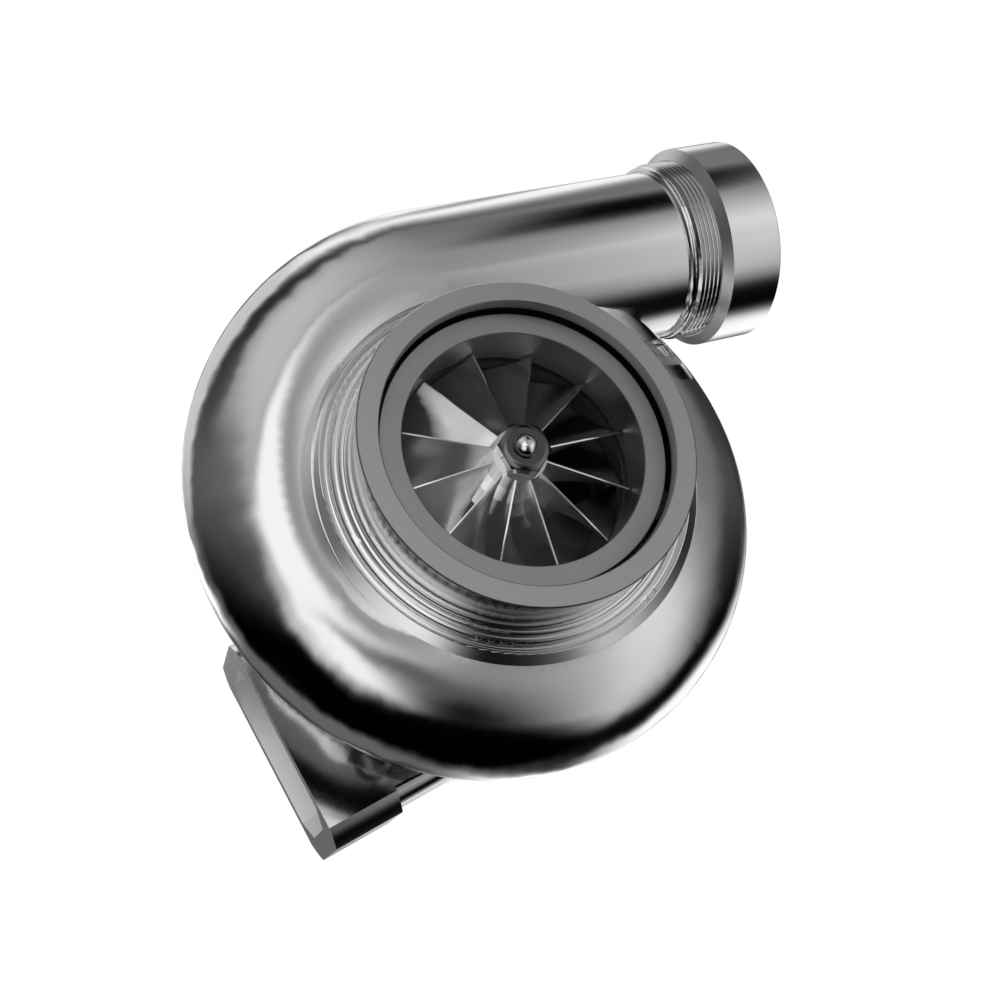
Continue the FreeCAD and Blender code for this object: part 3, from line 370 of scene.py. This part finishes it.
def hairlines(tree, where):
    """Fine polishing marks: noise drawn out along one way and very fine across it."""
    stretch = tree.nodes.new("ShaderNodeMapping")
    stretch.inputs["Rotation"].default_value = (0.4, 0.2, 0.7)
    stretch.inputs["Scale"].default_value = (1.0, 14.0, 14.0)
    tree.links.new(where, stretch.inputs["Vector"])
    return noise(tree, stretch.outputs["Vector"], 180.0, 5.0, 0.6)


def smudged_gloss(tree, where, rough):
    """Roughness with soft smudges and, finer, the marks of the polishing wheel."""
    smudge = remap(tree, noise(tree, where, 38.0, 4.0, 0.55), rough * 0.8, rough * 1.25, 0.3, 0.7)
    marks = remap(tree, hairlines(tree, where), -0.12 * rough, 0.12 * rough, 0.3, 0.7)
    return math_node(tree, "ADD", smudge, marks)


def polished(name, shade, rough):
    """Mirror polished metal."""
    material, tree, shader, where = new_material(name)
    shader.inputs["Base Color"].default_value = grey(shade)
    shader.inputs["Metallic"].default_value = 1.0
    tree.links.new(smudged_gloss(tree, where, rough), shader.inputs["Roughness"])
    return material


def collar_metal(name, shade, rough):
    """Polished collar; the cone on its inner end is satin."""
    material, tree, shader, where = new_material(name)
    x, y, z = axes(tree, where)
    along = math_node(tree, "MULTIPLY_ADD", x, math.sin(OUTLET_LEAN),
                      math_node(tree, "MULTIPLY", z, math.cos(OUTLET_LEAN)))
    cone = below(tree, along, COLLAR_CONE_END)
    shader.inputs["Base Color"].default_value = grey(shade)
    shader.inputs["Metallic"].default_value = 1.0
    gloss = blend(tree, cone, smudged_gloss(tree, where, rough), 0.34)
    tree.links.new(gloss, shader.inputs["Roughness"])
    return material


def wheel_metal(name):
    """Milled aluminium blades with a painted highlight and painted shade set by the direction of
    reflection.
    """
    material, tree, shader, where = new_material(name)
    shader.inputs["Metallic"].default_value = 0.82
    tree.links.new(smudged_gloss(tree, where, 0.22), shader.inputs["Roughness"])
    reflected = tree.nodes.new("ShaderNodeTexCoord").outputs["Reflection"]
    facing = tree.nodes.new("ShaderNodeLayerWeight").outputs["Facing"]
    # A surface seen square on has none of this, so that a texture baked from the piece is even.
    seen = remap(tree, facing, 0.0, 1.0, 0.001, 0.01)
    # Painted shade: the blades' tone drops to a tenth where the reflection points along either shade lobe.
    dark = all_of(tree, seen, lobe(tree, reflected, *PAINTED_SHADE_LOBE))
    dim = all_of(tree, seen, lobe(tree, reflected, *PAINTED_DIMMING_LOBE))
    left = all_of(tree, blend(tree, dark, 1.0, PAINTED_SHADE_SHARE), blend(tree, dim, 1.0, PAINTED_SHADE_SHARE))
    set_tone(tree, shader, math_node(tree, "MULTIPLY", left, 0.88))
    # Painted highlight and painted sheen: the blades glow white where the reflection points along these
    # lobes.
    bright = math_node(tree, "MULTIPLY", lobe(tree, reflected, *PAINTED_HIGHLIGHT_LOBE), PAINTED_HIGHLIGHT_GLOW)
    pale = math_node(tree, "MULTIPLY", lobe(tree, reflected, *PAINTED_SHEEN_LOBE), PAINTED_SHEEN_GLOW)
    shader.inputs["Emission Color"].default_value = (1.0, 1.0, 1.0, 1.0)
    glow = all_of(tree, seen, math_node(tree, "ADD", bright, pale))
    tree.links.new(glow, shader.inputs["Emission Strength"])
    return material


def nut_metal(name):
    """Bright nut: mirror flats, and a dome in front whose tone is darkened as painted shade."""
    material, tree, shader, where = new_material(name)
    x, y, z = axes(tree, where)
    dome = below(tree, y, DOME_D)
    # Painted shade: the dome's tone is 0.16 against 0.9 on the flats.
    set_tone(tree, shader, blend(tree, dome, 0.9, 0.16))
    tree.links.new(blend(tree, dome, 0.04, 0.10), shader.inputs["Roughness"])
    shader.inputs["Metallic"].default_value = 1.0
    return material


def compressor_casting(name, shade, rough):
    """Polished casting; its inlet face and lip are turned, the ring chamber inside is rough as cast, with
    painted shade darkening its tone.
    """
    material, tree, shader, where = new_material(name)
    x, y, z = axes(tree, where)
    radius = shaft_radius(tree, x, z)
    turned = all_of(tree, below(tree, y, LIP_D), below(tree, radius, LIP_R))
    chamber = all_of(tree, above(tree, y, LIP_D), below(tree, radius, CHAMBER_R))
    gloss = blend(tree, chamber, blend(tree, turned, smudged_gloss(tree, where, rough), 0.42), 0.55)
    tree.links.new(gloss, shader.inputs["Roughness"])
    # Painted shade: the tone drops to 0.16 in the recessed ring chamber.
    set_tone(tree, shader, blend(tree, chamber, blend(tree, turned, shade, 0.52), 0.16))
    shader.inputs["Metallic"].default_value = 1.0
    return material


def turbine_casting(name, shade, rough):
    """Polished steel casting; the flange face is ground and the gas passage dull, made pale by a painted
    glow.
    """
    material, tree, shader, where = new_material(name)
    x, y, z = axes(tree, where)
    face = below(tree, z, FLANGE_FACE_Z)
    off_centre = math_node(tree, "ABSOLUTE", math_node(tree, "SUBTRACT", x, FLANGE_X * MM))
    off_middle = math_node(tree, "ABSOLUTE", math_node(tree, "SUBTRACT", y, FLANGE_D * MM))
    passage = all_of(tree, above(tree, z, FLANGE_FACE_Z), below(tree, z, PASSAGE_END_Z),
                     below(tree, off_centre, PASSAGE_HALF_WIDTH),
                     below(tree, off_middle, PASSAGE_HALF_DEPTH))
    gloss = blend(tree, passage, blend(tree, face, smudged_gloss(tree, where, rough), 0.4), 0.35)
    tree.links.new(gloss, shader.inputs["Roughness"])
    set_tone(tree, shader, blend(tree, passage, blend(tree, face, shade, 0.9), 0.5))
    tree.links.new(blend(tree, face, 1.0, 0.25), shader.inputs["Metallic"])
    # Painted light: the passage glows, fading out deeper in and darker towards -X.
    depth = remap(tree, z, 0.30, 0.0, -83.6 * MM, -52.0 * MM)
    side = remap(tree, x, 0.35, 1.0, 2.0 * MM, 26.0 * MM)
    shader.inputs["Emission Color"].default_value = (1.0, 1.0, 1.0, 1.0)
    tree.links.new(all_of(tree, passage, depth, side), shader.inputs["Emission Strength"])
    return material


def rotor(name):
    """Cast nickel alloy turbine wheel behind a ground shaft with a mirror bright tip."""
    material, tree, shader, where = new_material(name)
    x, y, z = axes(tree, where)
    wheel = above(tree, y, TURBINE_WHEEL_D)
    pebble = noise(tree, where, 1800.0, 6.0, 0.65)
    rust = noise(tree, where, 140.0, 4.0)
    set_tone(tree, shader, blend(tree, wheel, 0.86, remap(tree, rust, 0.28, 0.45, 0.3, 0.7)))
    tree.links.new(blend(tree, wheel, 0.05, 0.38), shader.inputs["Roughness"])
    shader.inputs["Metallic"].default_value = 1.0
    bump(tree, shader, math_node(tree, "MULTIPLY", pebble, wheel), 0.12 * MM, 0.5)
    return material


def turned_metal(name, shade, rough, pitch):
    """Lathe turned metal: fine rings round the shaft axis."""
    material, tree, shader, where = new_material(name)
    shader.inputs["Base Color"].default_value = grey(shade)
    shader.inputs["Metallic"].default_value = 1.0
    x, y, z = axes(tree, where)
    radius = shaft_radius(tree, x, z)
    ridge = math_node(tree, "SINE", math_node(tree, "MULTIPLY", radius, 2 * math.pi / pitch))
    along = math_node(tree, "SINE", math_node(tree, "MULTIPLY", y, 2 * math.pi / pitch))
    smudge = noise(tree, where, 60.0, 4.0, 0.6)
    tree.links.new(remap(tree, smudge, rough * 0.85, rough * 1.2, 0.3, 0.7), shader.inputs["Roughness"])
    bump(tree, shader, math_node(tree, "ADD", ridge, along), 0.002 * MM, 0.5)
    return material


def cast(name, shade, rough, grain, warm=0.0, metallic=1.0):
    """Sand cast metal: a fine pebbled skin."""
    material, tree, shader, where = new_material(name)
    shader.inputs["Metallic"].default_value = metallic
    pebble = noise(tree, where, grain, 6.0, 0.65)
    tone = tree.nodes.new("ShaderNodeMix")
    tone.data_type = "RGBA"
    tone.inputs[6].default_value = grey(shade * 0.8, warm)
    tone.inputs[7].default_value = grey(shade * 1.2, warm)
    tree.links.new(noise(tree, where, grain * 0.08, 4.0), tone.inputs[0])
    tree.links.new(tone.outputs[2], shader.inputs["Base Color"])
    tree.links.new(remap(tree, pebble, rough * 0.85, rough * 1.15, 0.3, 0.7), shader.inputs["Roughness"])
    bump(tree, shader, pebble, 0.15 * MM, 0.5)
    return material


def plain(name, colour, rough, metallic, grain=400.0):
    """Even material with a faint speckle."""
    material, tree, shader, where = new_material(name)
    shader.inputs["Base Color"].default_value = (*colour, 1.0)
    shader.inputs["Metallic"].default_value = metallic
    speck = noise(tree, where, grain, 5.0, 0.6)
    tree.links.new(remap(tree, speck, rough * 0.8, rough * 1.25, 0.3, 0.7), shader.inputs["Roughness"])
    bump(tree, shader, speck, 0.004 * MM, 0.4)
    return material


def make_materials():
    return {
        "polished_cast_aluminium": compressor_casting("polished_cast_aluminium", 0.82, 0.10),
        "polished_collar": collar_metal("polished_collar", 0.84, 0.05),
        "machined_aluminium": turned_metal("machined_aluminium", 0.42, 0.42, 0.25 * MM),
        "milled_wheel": wheel_metal("milled_wheel"),
        "bright_steel": nut_metal("bright_steel"),
        "nickel_alloy": rotor("nickel_alloy"),
        "black_rubber": plain("black_rubber", (0.02, 0.02, 0.02), 0.6, 0.0),
        "zinc_steel": plain("zinc_steel", (0.62, 0.62, 0.63), 0.25, 1.0),
        "dark_steel": plain("dark_steel", (0.10, 0.10, 0.11), 0.35, 1.0),
        "ground_steel": polished("ground_steel", 0.62, 0.18),
        "bearing_bronze": turned_metal("bearing_bronze", 0.5, 0.25, 0.2 * MM),
        "cast_iron_housing": cast("cast_iron_housing", 0.22, 0.5, 1500.0, 0.01),
        "copper_washer": plain("copper_washer", (0.72, 0.36, 0.22), 0.3, 1.0),
        "fibre_gasket": plain("fibre_gasket", (0.16, 0.16, 0.15), 0.8, 0.0, 900.0),
        "polished_steel_housing": turbine_casting("polished_steel_housing", 0.80, 0.10),
        "heat_tinted_steel": plain("heat_tinted_steel", (0.45, 0.37, 0.30), 0.35, 1.0),
        "stainless_band": plain("stainless_band", (0.70, 0.70, 0.70), 0.22, 1.0),
    }


def dress_cad_nodes(materials):
    """Each CAD node takes the material of its slot in the record."""
    slots = {s["node"]: s["material_slot"] for s in frame["record"]["subparts"]}
    for name, node in frame["nodes"].items():
        if name in TURNED_PIECES:
            shade_turned(node.data)
        if name == "compressor_housing":
            shade_compressor_housing(node.data)
        node.data.materials.clear()
        node.data.materials.append(materials[slots[name]])


# ---------------------------------------------------------------- stage

# Soft boxes and black cards of the studio, painted one over another round the part:
# azimuth (0 toward the compressor inlet, 90 toward +X), elevation, half width, half height,
# roll and edge softness, all in degrees, and brightness.
BASE_TONE = 0.21
CARDS = [
    (1, 80, 9, 33, -30, 11, 0.30),              # top grey
    (-46, -4, 35, 30, 4, 23, 0.72),             # front grey
    (-50, 57, 38, 26, 13, 6, 0.44),             # upper left grey
    (32, 31, 31, 19, -31, 17, 0.99),            # upper front
    (36, 12, 38, 13, 1, 7, 0.88),               # front lower grey
    (-64, -49, 73, 9, 8, 25, 0.41),             # lower left
    (4, -118, 14, 75, -12, 19, 0.00),           # floor black
    (-134, 3, 35, 31, 30, 7, 0.76),             # left panel
    (-87, 1, 10, 24, -3, 8, 0.18),              # left streak
    (-115, 26, 26, 15, -18, 7, 0.95),           # left top band
    (-128, 30, 15, 2, -9, 2, 0.58),             # left edge light
    (-140, 14, 11, 2, 18, 6, 0.00),             # left line
    (-44, 36, 12, 5, -15, 4, 0.06),             # dark card
    (85, -33, 36, 47, 17, 12, 0.00),            # right black
    (104, 39, 18, 32, 11, 10, 0.06),            # right streak
    (29, -4, 26, 13, -6, 18, 0.08),             # right diag
    (168, -33, 36, 20, -4, 9, 0.38),            # back right grey
    (146, 34, 23, 18, -2, 11, 0.98),            # back right box
    (162, 9, 7, 2, 34, 12, 1.61),               # back strip
    (-162, -14, 5, 17, -12, 4, 1.14),           # back left strip
    (-12, -5, 13, 21, 3, 4, 0.96),              # key box upper
    (11, -27, 21, 18, -46, 11, 0.95),           # key box lower
    (-6, -35, 13, 3, -30, 12, 0.69),            # key tail
]


def card_axes(azimuth, elevation, roll):
    """Right, front and up directions of a card."""
    a = math.radians(azimuth)
    e = math.radians(elevation)
    r = math.radians(roll)
    front = Vector((math.sin(a) * math.cos(e), -math.cos(a) * math.cos(e), math.sin(e)))
    right = Vector((math.cos(a), math.sin(a), 0.0))
    up = Vector((-math.sin(a) * math.sin(e), math.cos(a) * math.sin(e), math.cos(e)))
    return right * math.cos(r) + up * math.sin(r), front, up * math.cos(r) - right * math.sin(r)


def dot_node(tree, vector, axis):
    node = tree.nodes.new("ShaderNodeVectorMath")
    node.operation = "DOT_PRODUCT"
    tree.links.new(vector, node.inputs[0])
    node.inputs[1].default_value = axis
    return node.outputs["Value"]


def fourth_power(tree, value, scale):
    scaled = math_node(tree, "MULTIPLY", value, scale)
    squared = math_node(tree, "MULTIPLY", scaled, scaled)
    return math_node(tree, "MULTIPLY", squared, squared)


def paint_card(tree, direction, under, card):
    """Lays one rounded, soft edged card over the tone under it."""
    azimuth, elevation, half_width, half_height, roll, soft, tone = card
    right, front, up = card_axes(azimuth, elevation, roll)
    across = math_node(tree, "ARCTAN2", dot_node(tree, direction, right),
                       dot_node(tree, direction, front))
    along = math_node(tree, "ARCSINE", dot_node(tree, direction, up))
    sum_of_powers = math_node(tree, "ADD", fourth_power(tree, across, 1 / math.radians(half_width)),
                              fourth_power(tree, along, 1 / math.radians(half_height)))
    rim = math_node(tree, "POWER", sum_of_powers, 0.25)
    edge = soft / min(half_width, half_height)
    mask = tree.nodes.new("ShaderNodeMapRange")
    mask.interpolation_type = "SMOOTHSTEP"
    tree.links.new(rim, mask.inputs["Value"])
    mask.inputs["From Min"].default_value = 1 - edge
    mask.inputs["From Max"].default_value = 1 + edge
    mask.inputs["To Min"].default_value = 1.0
    mask.inputs["To Max"].default_value = 0.0
    mix = tree.nodes.new("ShaderNodeMix")
    tree.links.new(mask.outputs["Result"], mix.inputs[0])
    if isinstance(under, float):
        mix.inputs[2].default_value = under
    else:
        tree.links.new(under, mix.inputs[2])
    mix.inputs[3].default_value = tone
    return mix.outputs[0]


def make_world():
    """White backdrop for the camera, the studio cards for everything that the metal reflects."""
    world = bpy.data.worlds.new("studio")
    world.use_nodes = True
    tree = world.node_tree
    coordinates = tree.nodes.new("ShaderNodeTexCoord")
    tone = BASE_TONE
    for card in CARDS:
        tone = paint_card(tree, coordinates.outputs["Generated"], tone, card)
    light = math_node(tree, "POWER", math_node(tree, "MAXIMUM", tone, 0.0), 2.2)
    studio = tree.nodes["Background"]
    tree.links.new(math_node(tree, "MULTIPLY", light, STUDIO_GAIN), studio.inputs["Strength"])
    studio.inputs["Color"].default_value = (1.0, 1.0, 1.0, 1.0)
    backdrop = tree.nodes.new("ShaderNodeBackground")
    backdrop.inputs["Color"].default_value = (1.0, 1.0, 1.0, 1.0)
    path = tree.nodes.new("ShaderNodeLightPath")
    mix = tree.nodes.new("ShaderNodeMixShader")
    tree.links.new(path.outputs["Is Camera Ray"], mix.inputs["Fac"])
    tree.links.new(studio.outputs["Background"], mix.inputs[1])
    tree.links.new(backdrop.outputs["Background"], mix.inputs[2])
    tree.links.new(mix.outputs["Shader"], tree.nodes["World Output"].inputs["Surface"])
    bpy.context.scene.world = world


def make_floor():
    """Plain pale floor with a soft contact shadow; it shows only from above and reflects in nothing."""
    half = 4.0   # metres
    height = min(cad_box[0][2], cad_box[1][2]) - 1.0 * MM
    mesh = bpy.data.meshes.new("floor")
    corners = [(-half, -half, height), (half, -half, height), (half, half, height), (-half, half, height)]
    mesh.from_pydata(corners, [], [(0, 1, 2, 3)])
    floor = bpy.data.objects.new("floor", mesh)
    bpy.context.scene.collection.objects.link(floor)
    floor.visible_glossy = False
    floor.visible_diffuse = False
    floor.visible_transmission = False
    floor.visible_shadow = False
    material, tree, shader, where = new_material("pale_floor")
    tree.nodes.remove(shader)
    occlusion = tree.nodes.new("ShaderNodeAmbientOcclusion")
    occlusion.samples = 12
    occlusion.inputs["Distance"].default_value = 0.16
    shade = remap(tree, occlusion.outputs["AO"], 0.42, 0.93)
    away = tree.nodes.new("ShaderNodeVectorMath")
    away.operation = "LENGTH"
    tree.links.new(where, away.inputs[0])
    fade = remap(tree, away.outputs["Value"], 0.0, 1.0, 0.35, 1.4)
    tone = tree.nodes.new("ShaderNodeMix")
    tree.links.new(fade, tone.inputs[0])
    tree.links.new(shade, tone.inputs[2])
    tone.inputs[3].default_value = 1.0
    glow = tree.nodes.new("ShaderNodeEmission")
    tree.links.new(tone.outputs[0], glow.inputs["Strength"])
    clear = tree.nodes.new("ShaderNodeBsdfTransparent")
    side = tree.nodes.new("ShaderNodeNewGeometry")
    mix = tree.nodes.new("ShaderNodeMixShader")
    tree.links.new(side.outputs["Backfacing"], mix.inputs["Fac"])
    tree.links.new(glow.outputs["Emission"], mix.inputs[1])
    tree.links.new(clear.outputs["BSDF"], mix.inputs[2])
    tree.links.new(mix.outputs["Shader"], tree.nodes["Material Output"].inputs["Surface"])
    mesh.materials.append(material)


def make_camera():
    """Camera at the photograph's viewing angle: low, a little to the right, rolled on its side."""
    data = bpy.data.cameras.new("camera")
    camera = bpy.data.objects.new("camera", data)
    bpy.context.scene.collection.objects.link(camera)
    data.lens = 47.9
    forward = Vector((-0.1947, 0.8986, 0.3931)).normalized()
    up = Vector((-0.8466, -0.3563, 0.3953))
    right = forward.cross(up).normalized()
    up = right.cross(forward)
    turn = Matrix((right, up, -forward)).transposed()
    camera.matrix_world = Matrix.Translation(Vector((84.8, -333.6, -164.4)) * MM) @ turn.to_4x4()
    data.clip_start = 0.01
    bpy.context.scene.camera = camera


materials = make_materials()
dress_cad_nodes(materials)
make_world()
make_floor()
make_camera()
bpy.context.scene.view_settings.view_transform = "Standard"
